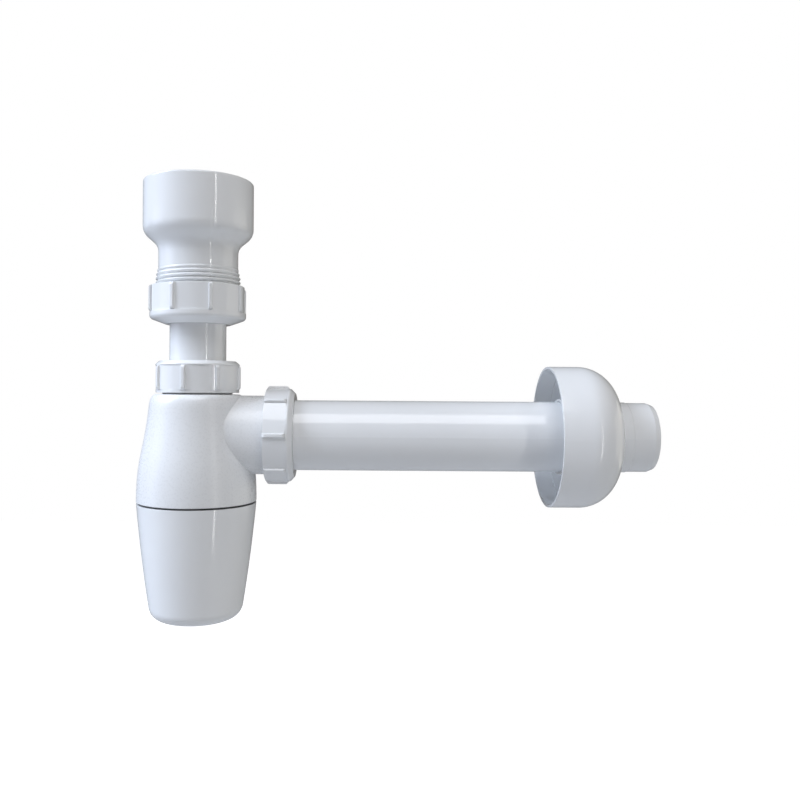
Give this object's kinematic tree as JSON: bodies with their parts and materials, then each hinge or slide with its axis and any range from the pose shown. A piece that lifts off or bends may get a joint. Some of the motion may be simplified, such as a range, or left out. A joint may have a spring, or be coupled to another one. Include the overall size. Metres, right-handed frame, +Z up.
{
  "type": "urinal trap",
  "caption": "White plastic bottle trap for a urinal: spigot socket, height-adjustable dip tube, screwed cup, and a straight outlet pipe with a sliding wall flange.",
  "frame": {"origin": "centre of the inlet socket's mouth, where the urinal's spigot goes in", "axes": "+Z up along the inlet, towards the urinal; +X along the outlet pipe, towards the wall"},
  "size_m": [0.2934, 0.0804, 0.2485],
  "materials": {
    "gloss_white": "glossy moulded polypropylene",
    "satin_white": "satin moulded polypropylene",
    "soft_white": "soft pale rubber",
    "dark_rubber": "dark rubber"
  },
  "bodies": {
    "socket": {"inlet_socket": "gloss_white", "inlet_seal": "soft_white", "upper_seal": "soft_white"},
    "upper_ring": {"upper_slip_ring": "gloss_white"},
    "upper_union": {"upper_nut": "gloss_white"},
    "tube": {"inlet_tube": "gloss_white"},
    "sliding_seal": {"lower_seal": "soft_white"},
    "trap": {"trap_body": "satin_white", "outlet_seal": "soft_white"},
    "lower_ring": {"lower_slip_ring": "gloss_white"},
    "lower_union": {"lower_nut": "gloss_white"},
    "seam_seal": {"cup_seal": "dark_rubber"},
    "cup": {"bottle_cup": "gloss_white"},
    "outlet_ring": {"outlet_slip_ring": "gloss_white"},
    "outlet_union": {"outlet_nut": "gloss_white"},
    "pipe": {"outlet_pipe": "gloss_white"},
    "flange": {"wall_flange": "gloss_white"}
  },
  "joints": [
    {"name": "upper_ring_shift", "type": "slide", "parent": "socket", "child": "upper_ring", "axis": [0, 0, -1], "range_m": [0, 0.0142]},
    {"name": "upper_nut_turn", "type": "hinge", "parent": "upper_ring", "child": "upper_union", "pos_m": [0, 0, -0.074], "axis": [0, 0, -1], "range_deg": [0, 2160]},
    {"name": "tube_height", "type": "slide", "parent": "socket", "child": "tube", "axis": [0, 0, -1], "range_m": [-0.007, 0.015]},
    {"name": "body_height", "type": "slide", "parent": "tube", "child": "sliding_seal", "axis": [0, 0, -1], "range_m": [-0.012, 0.015]},
    {"name": "body_swivel", "type": "hinge", "parent": "sliding_seal", "child": "trap", "pos_m": [0, 0, -0.1065], "axis": [0, 0, 1], "continuous": true},
    {"name": "lower_ring_shift", "type": "slide", "parent": "trap", "child": "lower_ring", "axis": [0, 0, 1], "range_m": [0, 0.013]},
    {"name": "lower_nut_turn", "type": "hinge", "parent": "lower_ring", "child": "lower_union", "pos_m": [0, 0, -0.1065], "axis": [0, 0, 1], "range_deg": [0, 1980]},
    {"name": "seam_seal_shift", "type": "slide", "parent": "trap", "child": "seam_seal", "axis": [0, 0, -1], "range_m": [0, 0.0092]},
    {"name": "cup_turn", "type": "hinge", "parent": "seam_seal", "child": "cup", "pos_m": [0, 0, -0.1829], "axis": [0, 0, -1], "range_deg": [0, 1080]},
    {"name": "outlet_ring_shift", "type": "slide", "parent": "trap", "child": "outlet_ring", "axis": [1, 0, 0], "range_m": [0, 0.0112]},
    {"name": "outlet_nut_turn", "type": "hinge", "parent": "outlet_ring", "child": "outlet_union", "pos_m": [0.0515, 0, -0.144], "axis": [1, 0, 0], "range_deg": [0, 1710]},
    {"name": "pipe_reach", "type": "slide", "parent": "trap", "child": "pipe", "axis": [1, 0, 0], "range_m": [-0.005, 0.012]},
    {"name": "flange_slide", "type": "slide", "parent": "pipe", "child": "flange", "axis": [1, 0, 0], "range_m": [-0.13, 0.012]}
  ],
  "couplings": [
    {"joint": "upper_ring_shift", "follows": "upper_nut_turn", "m_per_rad": 0.00036749},
    {"joint": "lower_ring_shift", "follows": "lower_nut_turn", "m_per_rad": 0.00036749},
    {"joint": "outlet_ring_shift", "follows": "outlet_nut_turn", "m_per_rad": 0.00036749},
    {"joint": "seam_seal_shift", "follows": "cup_turn", "m_per_rad": 0.00047746}
  ]
}
